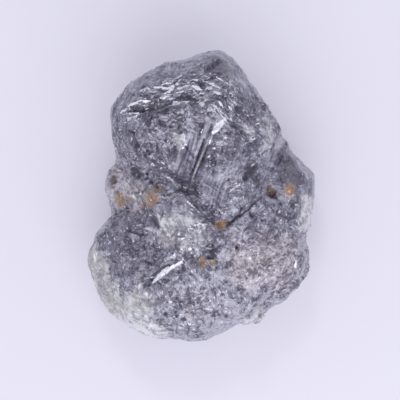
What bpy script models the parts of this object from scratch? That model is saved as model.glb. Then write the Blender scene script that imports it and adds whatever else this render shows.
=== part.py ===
"""A rough diamond: one intergrown stone that lies on a small flat cleavage face.

The stone is two rounded masses grown into each other. The crown, at +Y, is the taller one. It has a
blunt ridge across its top, a broad front face that runs down from the ridge, and a wedge that reaches
over the lower mass. The lower mass, at -Y, is a cluster of three swellings round a low hump. A
shoulder on the right and a waist on the left lie lower and fill the corners between the two.

It is modelled in millimetres, at a thousand times its size in scene units, because Blender's modelling
tools suit shapes of that size, and it is brought to metres at the end. +Z is up, +Y runs from the lower
mass to the crown, and the origin is under the middle of the stone, on the face it rests on.
"""

import math
from dataclasses import dataclass

import bmesh
import bpy
import numpy as np
from mathutils import Euler, Matrix, Vector, noise

# Driving dimensions, in millimetres: the stone's box as it lies.
WIDTH = 9.4
LENGTH = 12.0
HEIGHT = 7.3

NAME = "rough_diamond"
MILLIMETRE = 0.001

SKIN_CELL = 0.29          # cell of the grid on which the swellings are fused
SKIN_SMOOTHING = 2        # rounds of smoothing over the fused skin
REST_CUT = 0.42           # how much of the underside the resting face cleaves away
LUMPS = ((2.4, 0.26), (1.0, 0.1))    # (spacing, height) of the uneven growth on the skin
OUTLINE_SECTORS = 240     # directions in which the outline from above is compared
OUTLINE_ROUNDS = 4        # times the sides are drawn to it

STONE_GREY = (0.25, 0.24, 0.29, 1.0)
STONE_ROUGHNESS = 0.45
STONE_METALLIC = 0.3


@dataclass(frozen=True)
class Face:
    """A flat cleavage face: a point on it, and the way it looks."""

    point: tuple
    looks: tuple


@dataclass(frozen=True)
class Swelling:
    """One rounded mass of the stone: an ellipsoid, turned, with the flat faces that bound it."""

    name: str
    centre: tuple
    radii: tuple
    turn: tuple = (0.0, 0.0, 0.0)
    faces: tuple = ()


SWELLINGS = (
    Swelling("core", (0.0, -0.4, 2.9), (3.5, 4.8, 2.6)),
    Swelling(
        "crown", (-0.3, 2.75, 3.95), (3.6, 3.15, 3.6), (0, 0, 8),
        (
            Face((-0.4, 2.4, 6.9), (-0.08, -0.3, 0.95)),      # front face, under the ridge
            Face((-0.3, 4.7, 5.9), (-0.2, 0.74, 0.64)),       # rim, behind the ridge
            Face((2.2, 3.3, 5.75), (0.7, 0.22, 0.68)),        # right flank
            Face((-3.2, 2.7, 5.4), (-0.88, 0.04, 0.47)),      # left flank
            Face((-1.5, 0.75, 5.5), (-0.22, -0.88, 0.42)),    # step down to the waist
            Face((-2.5, 4.4, 2.6), (-0.66, 0.72, -0.2)),      # undercut, behind on the left
        ),
    ),
    Swelling(
        "crown_back", (0.7, 4.1, 3.1), (2.2, 1.95, 2.7), (0, 0, 0),
        (Face((1.9, 5.0, 2.2), (0.62, 0.7, -0.34)),),
    ),
    Swelling(
        "wedge", (1.25, 1.0, 4.3), (1.75, 2.75, 2.15), (18, 0, 8),
        (
            Face((0.95, 0.4, 6.05), (0.06, -0.36, 0.93)),     # the face that carries the striations
            Face((2.35, 0.6, 5.0), (0.82, -0.24, 0.52)),
            Face((0.1, 0.1, 5.0), (-0.76, -0.42, 0.5)),
        ),
    ),
    Swelling(
        "lower_right", (1.85, -2.5, 2.75), (2.85, 2.95, 2.55), (0, 0, -12),
        (
            Face((1.9, -2.4, 5.0), (0.12, -0.14, 0.98)),
            Face((3.5, -3.6, 3.7), (0.6, -0.5, 0.62)),
            Face((3.4, -3.7, 1.6), (0.68, -0.56, -0.46)),     # undercut
        ),
    ),
    Swelling(
        "lower_left", (-2.05, -2.7, 2.7), (2.75, 2.55, 2.5), (0, 0, 20),
        (
            Face((-2.3, -2.3, 4.75), (-0.22, 0.0, 0.97)),
            Face((-3.8, -3.1, 3.3), (-0.8, -0.3, 0.52)),
            Face((-3.9, -3.0, 1.6), (-0.8, -0.3, -0.5)),      # undercut
        ),
    ),
    Swelling("lower_front", (-0.25, -4.05, 2.5), (2.7, 2.0, 2.2)),
    Swelling(
        "hump", (-0.95, -1.35, 3.2), (1.65, 1.25, 2.2), (0, 0, 20),
        (Face((-0.9, -1.3, 5.15), (-0.1, -0.16, 0.98)),),
    ),
    Swelling("shoulder", (3.05, 0.5, 2.5), (1.75, 2.05, 1.9), (0, 0, -25)),
    Swelling("waist", (-2.6, 0.15, 2.45), (1.45, 1.6, 1.85)),
    Swelling("knob", (2.0, -4.75, 1.95), (0.85, 0.75, 0.85)),
)


@dataclass(frozen=True)
class Crease:
    """A furrow in the upper side, where two masses have grown together, along a path seen from above."""

    path: tuple
    depth: float
    width: float


CREASES = (
    Crease(((-3.7, 1.3), (-2.6, 0.95), (-1.5, 0.45), (-0.5, 0.25), (0.2, -0.5), (0.85, -1.35)), 0.32, 0.36),
    Crease(((0.85, -1.35), (1.65, -0.95), (2.5, -0.1), (3.0, 0.95), (3.5, 2.1)), 0.34, 0.36),
    Crease(((0.85, -1.35), (0.1, -2.6), (-1.0, -3.1), (-2.1, -3.3)), 0.26, 0.34),
    Crease(((-3.6, -0.7), (-2.5, -0.8), (-2.2, -1.9)), 0.2, 0.32),
)

# The outline seen from above, anticlockwise from the right-hand side, in millimetres.
OUTLINE = (
    (4.71, 0.3), (4.62, 0.88), (4.0, 1.58), (3.56, 2.15), (3.33, 2.5), (3.22, 3.0), (2.95, 3.55),
    (2.6, 4.15), (2.2, 4.66), (1.8, 5.26), (1.36, 5.66), (0.88, 5.96), (0.42, 6.0), (-0.1, 5.85),
    (-0.72, 5.64), (-1.45, 5.47), (-2.36, 4.97), (-3.0, 4.52), (-3.44, 4.0), (-3.68, 3.52),
    (-3.64, 3.0), (-3.6, 2.3), (-3.46, 1.72), (-3.56, 1.3), (-3.83, 0.92), (-3.9, 0.3), (-3.8, -0.25),
    (-3.7, -0.68), (-3.88, -1.02), (-4.28, -1.5), (-4.47, -1.96), (-4.69, -2.6), (-4.53, -3.16),
    (-4.2, -3.9), (-3.72, -4.62), (-3.0, -5.2), (-2.36, -5.53), (-1.74, -5.74), (-1.0, -5.89),
    (-0.36, -6.0), (0.16, -5.93), (0.9, -5.62), (1.5, -5.27), (2.05, -5.3), (2.46, -5.15),
    (2.78, -4.73), (3.42, -4.3), (4.05, -3.68), (4.4, -3.05), (4.45, -2.4), (4.3, -1.7), (4.5, -1.05),
    (4.67, -0.25),
)


def clear_scene():
    """Empties the scene of what Blender starts with."""
    for obj in list(bpy.data.objects):
        bpy.data.objects.remove(obj, do_unlink=True)


def stone_collection():
    """The collection that holds the stone."""
    collection = bpy.data.collections.new("Rough diamond")
    bpy.context.scene.collection.children.link(collection)
    return collection


def cleave(mesh_data, face):
    """Cuts a closed mesh off at a flat face and closes it there."""
    mesh = bmesh.new()
    mesh.from_mesh(mesh_data)
    cut = bmesh.ops.bisect_plane(
        mesh,
        geom=mesh.verts[:] + mesh.edges[:] + mesh.faces[:],
        plane_co=face.point,
        plane_no=face.looks,
        clear_outer=True,
    )
    rim = [item for item in cut["geom_cut"] if isinstance(item, bmesh.types.BMEdge)]
    if rim:
        bmesh.ops.holes_fill(mesh, edges=rim, sides=0)
    mesh.to_mesh(mesh_data)
    mesh.free()


def make_swelling(swelling):
    """One swelling as an ellipsoid with its flat faces."""
    bpy.ops.mesh.primitive_ico_sphere_add(subdivisions=5, radius=1.0)
    obj = bpy.context.active_object
    obj.name = swelling.name
    turn = Euler([math.radians(angle) for angle in swelling.turn]).to_matrix().to_4x4()
    place = Matrix.Translation(swelling.centre) @ turn @ Matrix.Diagonal((*swelling.radii, 1.0))
    obj.data.transform(place)
    for face in swelling.faces:
        cleave(obj.data, face)
    return obj


def apply_modifier(obj, kind, **settings):
    """Adds a modifier with these settings and applies it."""
    modifier = obj.modifiers.new(kind.title(), kind)
    for name, value in settings.items():
        setattr(modifier, name, value)
    bpy.context.view_layer.objects.active = obj
    bpy.ops.object.modifier_apply(modifier=modifier.name)


def fuse(swellings):
    """Joins the swellings and draws one closed skin over them."""
    bpy.ops.object.select_all(action="DESELECT")
    for obj in swellings:
        obj.select_set(True)
    stone = swellings[0]
    bpy.context.view_layer.objects.active = stone
    bpy.ops.object.join()
    apply_modifier(stone, "REMESH", mode="VOXEL", voxel_size=SKIN_CELL)
    apply_modifier(stone, "SMOOTH", factor=0.5, iterations=SKIN_SMOOTHING)
    stone.name = stone.data.name = NAME
    return stone


def points_of(stone):
    """The stone's vertices as an array, a row each."""
    points = np.empty(len(stone.data.vertices) * 3)
    stone.data.vertices.foreach_get("co", points)
    return points.reshape(-1, 3)


def set_points(stone, points):
    """Moves the stone's vertices to these points."""
    stone.data.vertices.foreach_set("co", points.ravel())
    stone.data.update()


def grow_unevenly(stone):
    """Raises and lowers the skin along its normals, in lumps of more than one size."""
    for vertex, normal in zip(stone.data.vertices, [v.normal.copy() for v in stone.data.vertices]):
        rise = sum(
            height * noise.noise(vertex.co / spacing, noise_basis="PERLIN_NEW")
            for spacing, height in LUMPS
        )
        vertex.co += normal * rise
    stone.data.update()


def distance_to_path(points, path):
    """How far each point, seen from above, is from a path."""
    nearest = np.full(len(points), np.inf)
    for start, end in zip(np.array(path[:-1]), np.array(path[1:])):
        along = end - start
        share = np.clip((points[:, :2] - start) @ along / (along @ along), 0, 1)
        gap = points[:, :2] - start - share[:, None] * along
        nearest = np.minimum(nearest, np.hypot(gap[:, 0], gap[:, 1]))
    return nearest


def press_creases(stone):
    """Presses the creases into the upper side, along its normals."""
    normals = np.array([vertex.normal for vertex in stone.data.vertices])
    points = points_of(stone)
    upward = np.clip(normals[:, 2] * 2, 0, 1)
    depth = np.zeros(len(points))
    for crease in CREASES:
        fade = np.exp(-((distance_to_path(points, crease.path) / crease.width) ** 2))
        depth = np.maximum(depth, crease.depth * fade)
    set_points(stone, points - normals * (depth * upward)[:, None])


def closed_curve(corners, steps):
    """Points along a smooth closed curve through the corners, by Catmull and Rom's rule."""
    corners = np.array(corners)
    before, after, later = (np.roll(corners, shift, axis=0) for shift in (1, -1, -2))
    rows = []
    for t in np.linspace(0, 1, steps, endpoint=False):
        rows.append(
            0.5
            * (
                2 * corners
                + (after - before) * t
                + (2 * before - 5 * corners + 4 * after - later) * t**2
                + (3 * corners - before - 3 * after + later) * t**3
            )
        )
    return np.stack(rows, axis=1).reshape(-1, 2)


def reach_by_sector(points):
    """How far the points reach from the Z axis in each sector round it."""
    turn = np.arctan2(points[:, 1], points[:, 0]) % (2 * math.pi)
    sector = (turn / (2 * math.pi) * OUTLINE_SECTORS).astype(int) % OUTLINE_SECTORS
    reach = np.zeros(OUTLINE_SECTORS)
    np.maximum.at(reach, sector, np.hypot(points[:, 0], points[:, 1]))
    return reach


def along_edges(stone, points):
    """Points spread along every edge, so that no sector of the outline is left empty."""
    ends = np.empty(len(stone.data.edges) * 2, dtype=int)
    stone.data.edges.foreach_get("vertices", ends)
    first, second = points[ends[::2]], points[ends[1::2]]
    return np.concatenate([first + (second - first) * t for t in np.linspace(0, 1, 6)])


def fit_outline(stone):
    """Draws the sides of the stone in or out from the Z axis, until it has the outline from above."""
    wanted = reach_by_sector(closed_curve(OUTLINE, 40))
    middles = (np.arange(OUTLINE_SECTORS) + 0.5) * 2 * math.pi / OUTLINE_SECTORS
    for _ in range(OUTLINE_ROUNDS):
        points = points_of(stone)
        reach = reach_by_sector(along_edges(stone, points))
        turn = np.arctan2(points[:, 1], points[:, 0]) % (2 * math.pi)
        share = np.interp(turn, middles, wanted / reach, period=2 * math.pi)
        edge = np.hypot(points[:, 0], points[:, 1]) / np.interp(turn, middles, reach, period=2 * math.pi)
        points[:, :2] *= (1 + (share - 1) * edge**3)[:, None]
        set_points(stone, points)


def lay_down(stone):
    """Cleaves the resting face, and brings the stone to its box, with the origin under its middle."""
    lowest = points_of(stone)[:, 2].min()
    cleave(stone.data, Face((0, 0, lowest + REST_CUT), (0, 0, -1)))
    points = points_of(stone)
    low, high = points.min(axis=0), points.max(axis=0)
    middle = (low + high) / 2
    points -= (middle[0], middle[1], low[2])
    points *= np.array((WIDTH, LENGTH, HEIGHT)) / (high - low)
    set_points(stone, points)


def stone_material():
    """The grey, faintly violet, half-metallic lustre of the stone."""
    material = bpy.data.materials.new("Grey bort")
    material.use_nodes = True
    shader = material.node_tree.nodes["Principled BSDF"]
    shader.inputs["Base Color"].default_value = STONE_GREY
    shader.inputs["Roughness"].default_value = STONE_ROUGHNESS
    shader.inputs["Metallic"].default_value = STONE_METALLIC
    return material


def main():
    """Builds the stone."""
    clear_scene()
    stone = fuse([make_swelling(swelling) for swelling in SWELLINGS])
    press_creases(stone)
    grow_unevenly(stone)
    fit_outline(stone)
    lay_down(stone)
    stone.data.transform(Matrix.Scale(MILLIMETRE, 4))
    stone.data.materials.clear()
    stone.data.materials.append(stone_material())
    for collection in stone.users_collection:
        collection.objects.unlink(stone)
    stone_collection().objects.link(stone)


main()
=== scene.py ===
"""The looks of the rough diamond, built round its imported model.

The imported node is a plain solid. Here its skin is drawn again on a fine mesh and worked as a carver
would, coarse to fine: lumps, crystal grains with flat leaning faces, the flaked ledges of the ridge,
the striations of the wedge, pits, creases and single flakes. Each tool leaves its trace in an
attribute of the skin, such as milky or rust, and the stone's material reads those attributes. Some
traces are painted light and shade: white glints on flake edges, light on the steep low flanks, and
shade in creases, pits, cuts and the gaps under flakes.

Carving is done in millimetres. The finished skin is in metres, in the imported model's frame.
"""

import logging
import math
from dataclasses import dataclass, field
from enum import Enum
from typing import Iterable, Mapping, Optional, Sequence, Union

import bpy
import numpy as np
from mathutils import Matrix, Vector, noise


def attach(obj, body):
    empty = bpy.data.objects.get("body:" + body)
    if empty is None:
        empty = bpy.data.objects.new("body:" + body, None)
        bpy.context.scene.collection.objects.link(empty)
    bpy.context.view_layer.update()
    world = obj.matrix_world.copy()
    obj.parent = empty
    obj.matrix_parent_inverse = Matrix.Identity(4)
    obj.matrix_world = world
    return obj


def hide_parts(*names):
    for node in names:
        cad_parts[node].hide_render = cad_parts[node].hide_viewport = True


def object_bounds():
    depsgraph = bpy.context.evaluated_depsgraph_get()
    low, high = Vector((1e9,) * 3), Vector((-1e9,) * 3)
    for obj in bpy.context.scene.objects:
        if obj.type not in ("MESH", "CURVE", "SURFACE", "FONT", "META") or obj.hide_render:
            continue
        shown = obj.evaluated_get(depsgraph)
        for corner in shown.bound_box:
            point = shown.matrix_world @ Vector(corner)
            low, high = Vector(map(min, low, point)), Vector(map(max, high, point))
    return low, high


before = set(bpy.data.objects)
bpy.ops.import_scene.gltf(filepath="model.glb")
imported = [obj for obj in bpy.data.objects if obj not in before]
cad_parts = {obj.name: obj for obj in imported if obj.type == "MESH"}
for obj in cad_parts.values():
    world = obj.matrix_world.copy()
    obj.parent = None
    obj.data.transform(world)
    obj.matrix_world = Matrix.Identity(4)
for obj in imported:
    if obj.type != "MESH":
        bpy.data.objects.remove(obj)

CAD_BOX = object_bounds()
NODE = "rough_diamond"
PIECE = "rough_diamond_stone"
BODY = "root"
MILLIMETRE = 0.001

log = logging.getLogger(NODE)

Path = tuple[tuple[float, float], ...]
Colour = tuple[float, float, float]
Stops = tuple[tuple[float, Colour], ...]


# --- The areas of the stone, all seen from above and in millimetres ---


class Region(Enum):
    """A kind of skin, and the name of the attribute that says where it is."""

    SHELL = "shell"      # smooth rounded skin
    MILKY = "milky"      # pale and clouded
    GREEN = "green"      # a slight green cast in what is milky
    CREAM = "cream"      # fine grain with a warm cast
    DARK = "dark"        # painted shade in creases, pits, cuts and the gaps under flakes, and black specks and darker patches
    RUST = "rust"        # stained by iron
    BROWN = "brown"      # dark brown, in hollows
    GLINT = "glint"      # painted highlight: a bare flake edge painted white where it would flash
    COARSE = "coarse"    # large crystal grains
    PALE = "pale"        # a little lighter
    STRIPE = "stripe"    # straight furrows, side by side
    THIN = "thin"        # painted light on the steep low flanks, standing in for light that comes through the edge
    LEDGE = "ledge"      # thin flakes, one above the other, which get painted glints and painted shade
    ACROSS = "across"    # how far a point is across those flakes: 0.5 at the ridge, 1 a millimetre up


(SHELL, MILKY, GREEN, CREAM, DARK, RUST, BROWN, GLINT, COARSE, PALE, STRIPE, THIN, LEDGE, ACROSS) = Region


@dataclass(frozen=True)
class Patch:
    """An area of the upper side: its outline, how much of a region it has, and how soft its edge is."""

    region: Region
    outline: Path
    amount: float = 1.0
    edge: float = 0.25


@dataclass(frozen=True)
class Mark:
    """One stroke of the tool on the upper side: a flake, a furrow, a pit or a grain.

    A rise below 0 is a cut. The amount is how much of the region the stroke leaves.
    """

    region: Optional[Region]
    path: Path
    width: float
    rise: float
    amount: float = 1.0


@dataclass(frozen=True)
class Chance:
    """A region that noise lays out on the sides and underneath.

    It starts to show where the noise is above start, and shows in full where it is above full.
    """

    region: Region
    size: float
    layers: int
    shift: float
    start: float
    full: float
    amount: float = 1.0


def patches(region: Region, *rows: tuple) -> tuple[Patch, ...]:
    """Patches of one region, each given as its outline, amount and edge."""
    return tuple(Patch(region, *row) for row in rows)


def marks(region: Optional[Region], *rows: tuple) -> tuple[Mark, ...]:
    """Marks of one region, each given as its path, width, rise and amount."""
    return tuple(Mark(region, *row) for row in rows)


PATCHES = patches(
    SHELL,
    (((-3.6, 3.2), (-2.85, 3.85), (-1.45, 4.75), (0.2, 5.1), (1.25, 4.9), (1.85, 4.2), (2.5, 3.9),
      (2.3, 5.0), (1.6, 5.6), (0.8, 6.2), (-1.0, 5.9), (-2.4, 5.4), (-3.6, 4.2), (-3.9, 3.4)), 1.0, 0.35),
    (((3.4, 2.2), (4.2, 1.6), (4.9, 0.6), (4.7, -0.2), (2.5, -0.3), (2.35, 0.7), (2.75, 1.7)), 0.9, 0.35),
    (((-1.7, -0.6), (-1.2, 0.05), (-0.3, 0.05), (0.3, -0.7), (-0.3, -1.0), (-1.1, -1.35)), 0.85, 0.2),
) + patches(
    MILKY,
    (((1.3, 5.2), (1.8, 5.0), (2.1, 4.5), (1.6, 4.3), (1.1, 4.7)), 0.4, 0.3),
    (((2.3, 3.2), (3.1, 3.4), (3.4, 2.2), (2.5, 1.85), (1.9, 2.6)), 0.45, 0.4),
    (((4.1, 0.1), (4.8, -0.05), (4.75, -1.3), (4.1, -1.35), (3.9, -0.6)), 0.9, 0.3),
    (((-4.1, 1.3), (-3.35, 1.45), (-2.5, 0.8), (-1.5, 0.35), (-2.0, -0.3), (-3.3, -0.7),
      (-4.1, -0.4)), 0.3, 0.3),
    (((-2.0, -1.05), (-1.6, -0.6), (-0.6, -0.5), (0.3, -1.05), (0.4, -1.8), (-0.4, -2.3),
      (-1.5, -2.1)), 0.34, 0.35),
    (((-1.75, -0.75), (-1.2, -0.85), (-1.05, -1.3), (-1.6, -1.25)), 0.7, 0.15),
    (((-0.85, -0.95), (0.2, -0.9), (0.3, -1.4), (-0.4, -1.55), (-0.85, -1.3)), 0.42, 0.2),
    (((-4.9, -2.7), (-4.5, -2.1), (-3.95, -2.2), (-3.6, -3.4), (-2.8, -4.2), (-2.2, -4.9), (-1.4, -5.5),
      (-1.6, -6.1), (-3.2, -5.5), (-4.4, -4.3)), 0.9, 0.3),
    (((-3.2, -3.9), (-2.5, -3.65), (-2.0, -4.0), (-1.85, -4.7), (-1.35, -5.3), (-1.7, -5.7),
      (-2.5, -5.4), (-3.15, -4.6)), 0.8, 0.35),
) + patches(
    GREEN,
    (((-5.0, -2.3), (-4.0, -1.9), (-3.5, -3.2), (-3.1, -4.1), (-3.4, -4.7), (-4.6, -4.2)), 0.9, 0.3),
    (((-2.0, -1.3), (0.2, -1.5), (0.2, -2.4), (-1.8, -2.4)), 0.6, 0.3),
) + patches(
    CREAM,
    (((-3.9, 1.3), (-3.4, 1.4), (-2.6, 0.7), (-1.9, 0.4), (-1.5, 0.05), (-2.1, -0.6), (-2.9, -0.8),
      (-3.8, -0.4)), 0.65, 0.3),
    (((-1.9, -1.3), (-1.2, -1.5), (-0.4, -1.9), (-0.6, -2.3), (-1.4, -2.2)), 0.6, 0.3),
    (((1.1, -1.45), (2.5, -1.3), (4.0, -1.8), (4.25, -2.7), (3.75, -3.75), (2.0, -4.2),
      (1.0, -3.4)), 0.72, 0.6),
    (((-0.8, -3.6), (4.1, -3.6), (2.5, -5.3), (1.2, -5.8), (-0.5, -6.1), (-1.4, -5.0)), 0.3, 0.6),
) + patches(
    DARK,
    # the first patch is painted shade under the ledges of the ridge; the others are darker patches
    (((-3.0, 3.32), (-2.75, 3.56), (-1.95, 3.65), (-1.22, 3.82), (-0.15, 4.02), (-0.08, 3.62),
      (-1.1, 3.62), (-1.35, 3.15), (-2.15, 3.2)), 0.52, 0.07),
    (((-1.3, 1.1), (-0.4, 0.8), (0.2, 0.0), (0.1, -0.35), (-0.6, 0.2), (-1.3, 0.6)), 0.5, 0.3),
    (((3.0, 1.9), (3.9, 1.6), (4.8, 0.6), (4.7, 0.1), (3.9, 0.0), (2.9, 0.6)), 0.5, 0.4),
    (((0.1, 5.9), (1.7, 5.15), (1.15, 4.75), (-0.1, 5.2)), 0.38, 0.1),
    (((-4.2, -1.5), (-3.3, -0.8), (-2.3, -0.75), (-2.0, -1.8), (-1.5, -2.7), (-2.1, -3.5), (-3.3, -3.6),
      (-3.9, -2.7)), 0.4, 0.4),
) + patches(
    COARSE,
    (((-3.4, 3.0), (0.9, 3.1), (0.6, 1.8), (-0.1, 0.3), (-1.5, 0.5), (-3.5, 1.5)), 1.0, 0.4),
    (((0.6, 2.8), (2.5, 2.65), (3.0, 1.5), (2.5, 0.25), (0.9, -1.3), (0.2, -0.2)), 0.7, 0.4),
) + patches(
    PALE,
    (((-0.2, 1.1), (0.7, 1.1), (1.3, 0.3), (0.95, -1.0), (0.3, -0.4)), 0.5, 0.3),
    (((-3.7, 3.4), (-2.6, 4.3), (-1.2, 5.2), (0.4, 5.1), (-0.6, 6.0), (-2.4, 5.4),
      (-3.7, 4.2)), 0.4, 0.3),
    (((-1.2, -3.3), (1.2, -2.9), (3.6, -3.0), (2.4, -4.6), (2.0, -5.3), (0.5, -5.9),
      (-1.4, -5.6)), 1.0, 0.5),
    (((0.9, -1.4), (2.4, -0.9), (4.2, -1.6), (4.2, -3.4), (1.0, -3.2)), 0.5, 0.4),
) + patches(
    STRIPE,
    (((-1.0, 1.8), (-0.15, 2.75), (0.65, 2.9), (0.45, 1.9), (0.1, 0.9), (-0.4, 0.4),
      (-1.0, 0.75)), 1.0, 0.12),
    (((-0.1, 1.0), (0.6, 1.1), (1.0, 0.5), (0.95, -0.9), (0.4, -0.4)), 0.8, 0.2),
    (((1.3, 2.4), (1.7, 2.4), (1.5, 1.2), (1.15, 0.9)), 0.7, 0.2),
)

# A painted glint on a flake's bare edge wipes off the painted shade and dark specks under it, so the order
# of the marks counts.
RIDGE_MARKS = marks(
    # painted glints on the edges of the ridge's flakes
    GLINT,
    (((-3.2, 3.35), (-2.85, 3.55), (-2.45, 3.75), (-2.0, 3.75)), 0.053, 0.06),
    (((-1.9, 4.35), (-1.5, 4.3), (-1.1, 4.25)), 0.038, 0.05),
    (((-1.05, 4.4), (-1.2, 4.2), (-1.45, 4.05)), 0.053, 0.06),
    (((-1.7, 3.8), (-1.3, 3.93)), 0.038, 0.04),
    (((-2.5, 4.2), (-2.0, 4.25)), 0.045, 0.04, 0.8),
    (((-1.25, 4.65), (-1.0, 4.7), (-0.75, 4.85)), 0.038, 0.04, 0.9),
    (((-0.6, 4.57), (-0.2, 4.67), (0.25, 4.67)), 0.038, 0.04, 0.8),
    (((-0.35, 4.35), (0.05, 4.25)), 0.068, 0.05),
    (((0.2, 4.42), (0.42, 4.37)), 0.06, 0.05),
    (((0.5, 4.25), (0.78, 4.05)), 0.068, 0.05),
    (((0.62, 4.8), (0.85, 4.7)), 0.038, 0.03),
    (((-1.0, 4.08), (-0.55, 4.1)), 0.03, 0.04),
    (((-1.0, 3.68), (-0.35, 3.76)), 0.03, 0.04, 0.8),
    (((-2.9, 3.3), (-2.1, 3.27)), 0.026, 0.03, 0.8),
    (((-2.8, 3.13), (-2.35, 3.15), (-1.9, 3.18)), 0.022, 0.03, 0.6),
    (((0.65, 3.7), (0.86, 3.5)), 0.045, 0.05),
    (((1.1, 3.6), (1.26, 3.44)), 0.038, 0.04),
    (((0.95, 3.08), (0.78, 2.85), (0.5, 2.55)), 0.12, 0.07),
    (((-1.83, 4.34), (-1.16, 4.35), (-0.89, 4.51), (-0.72, 4.74)), 0.026, 0.04, 0.9),
    (((-0.62, 4.57), (-0.09, 4.53)), 0.022, 0.03, 0.8),
) + marks(
    DARK,
    # painted shadow in the gaps under the ridge's flakes, and dark spots
    (((-2.75, 3.4), (-2.4, 3.42), (-1.9, 3.52)), 0.08, -0.1),
    (((-1.8, 3.55), (-1.45, 3.62), (-1.15, 3.68)), 0.09, -0.12),
    (((-1.7, 3.35), (-1.3, 3.4)), 0.08, -0.08, 0.9),
    (((-2.1, 3.2), (-1.7, 3.12)), 0.07, -0.06, 0.8),
    (((-0.95, 3.9), (-0.55, 3.95), (-0.1, 3.85), (-0.05, 3.7)), 0.09, -0.12),
    (((-1.62, 2.95), (-1.45, 2.8)), 0.15, -0.12),
    (((-1.25, 2.78), (-1.15, 2.76)), 0.08, -0.08, 0.9),
    (((-0.9, 3.2), (-0.7, 3.25)), 0.07, -0.06, 0.8),
    (((0.0, 2.86), (0.07, 2.78)), 0.13, -0.1),
    (((1.4, 3.55), (1.5, 3.45)), 0.06, -0.06, 0.8),
    (((1.2, 2.85), (1.4, 2.7)), 0.09, -0.06, 0.8),
    (((1.6, 2.6), (1.7, 2.5)), 0.08, -0.06, 0.7),
    (((0.3, 3.25), (0.45, 3.3)), 0.1, -0.08),
    (((0.8, 3.9), (0.95, 3.82)), 0.08, -0.08),
) + marks(
    MILKY,
    (((0.22, 3.92), (0.28, 3.9)), 0.28, 0.1, 0.5),
    (((0.02, 3.6), (0.1, 3.58)), 0.12, 0.08, 0.8),
)

FRONT_MARKS = marks(
    None,
    (((0.26, 2.8), (-0.08, 1.8), (-0.45, 0.85)), 0.1, 0.06),
) + marks(
    DARK,
    # painted shade in grooves and cuts, and dark spots
    (((-2.85, 2.8), (-2.65, 2.3), (-2.4, 1.9)), 0.045, -0.05, 0.65),
    (((0.16, 2.3), (-0.1, 1.55), (-0.4, 0.85)), 0.05, -0.1),
    (((0.34, 2.1), (0.06, 1.4), (-0.26, 0.7)), 0.045, -0.08),
    (((-2.8, 1.05), (-2.55, 0.75)), 0.13, -0.08),
    (((-1.0, 0.75), (-0.6, 0.45), (-0.15, 0.1)), 0.2, -0.04, 0.7),
    (((0.5, 1.34), (0.56, 1.28)), 0.13, -0.12),
    (((1.15, 0.62), (1.17, 0.6)), 0.09, -0.1),
) + marks(
    MILKY,
    (((-0.98, 2.45), (-0.78, 2.2), (-0.85, 1.98)), 0.26, 0.04, 0.75),
    (((0.24, 2.1), (-0.02, 1.46), (-0.32, 0.78)), 0.045, 0.06, 0.7),
) + marks(
    CREAM,
    (((1.5, 2.35), (1.38, 1.8)), 0.15, 0.03, 0.5),
) + marks(
    # painted glints on flake edges
    GLINT,
    (((-0.68, 2.5), (-0.57, 2.05), (-0.78, 1.88), (-1.0, 1.85)), 0.055, 0.05, 0.75),
    (((0.42, 2.3), (0.3, 2.0)), 0.035, 0.03, 0.8),
    (((0.12, 2.75), (-0.1, 2.3)), 0.03, 0.03, 0.6),
    (((-1.75, 0.8), (-1.3, 0.72), (-1.05, 0.55)), 0.03, 0.03, 0.7),
    (((-1.7, 0.5), (-1.3, 0.38), (-1.05, 0.2)), 0.03, 0.03, 0.7),
    (((0.78, -0.45), (0.9, -0.68)), 0.045, 0.03, 0.8),
    (((0.62, -0.62), (0.72, -0.8)), 0.035, 0.03, 0.8),
    (((-0.75, -0.08), (-0.4, -0.33), (-0.02, -0.65)), 0.03, 0.03, 0.7),
    (((-0.83, -0.35), (-0.46, -0.6), (-0.1, -0.93)), 0.03, 0.03, 0.6),
)

SHOULDER_MARKS = marks(
    None,
    (((1.9, -0.5), (2.6, 0.4), (3.0, 1.2), (3.4, 2.1)), 0.4, 0.13),
) + marks(
    DARK,
    # painted shade in hollows and a crease, and dark pits
    (((2.3, 1.2), (2.05, 0.9), (1.8, 0.62)), 0.13, -0.16, 0.9),
    (((2.84, 0.2), (2.93, 0.06)), 0.12, -0.06, 0.9),
    (((3.3, -0.3), (3.34, -0.36)), 0.1, -0.07, 0.9),
    (((1.1, -1.18), (1.65, -0.78), (2.12, -0.27), (2.43, -0.11)), 0.05, -0.05, 0.8),
    (((2.09, -0.77), (2.13, -0.8)), 0.1, -0.1),
) + marks(
    BROWN,
    (((2.79, 0.29), (2.94, 0.04)), 0.22, -0.18),
    (((3.52, 0.5), (3.57, 0.46)), 0.1, -0.05, 0.6),
) + marks(
    RUST,
    (((2.7, 0.28), (2.76, 0.1)), 0.12, 0.0, 0.45),
    (((3.56, 0.38), (3.67, 0.14)), 0.24, -0.03, 0.95),
) + marks(
    CREAM,
    (((2.62, 0.62), (2.72, 0.48)), 0.14, 0.03),
    (((3.5, 0.05), (3.72, -0.02)), 0.2, 0.02),
) + marks(
    MILKY,
    (((2.05, -0.5), (2.08, -0.58)), 0.13, 0.07, 0.9),
)

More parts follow.
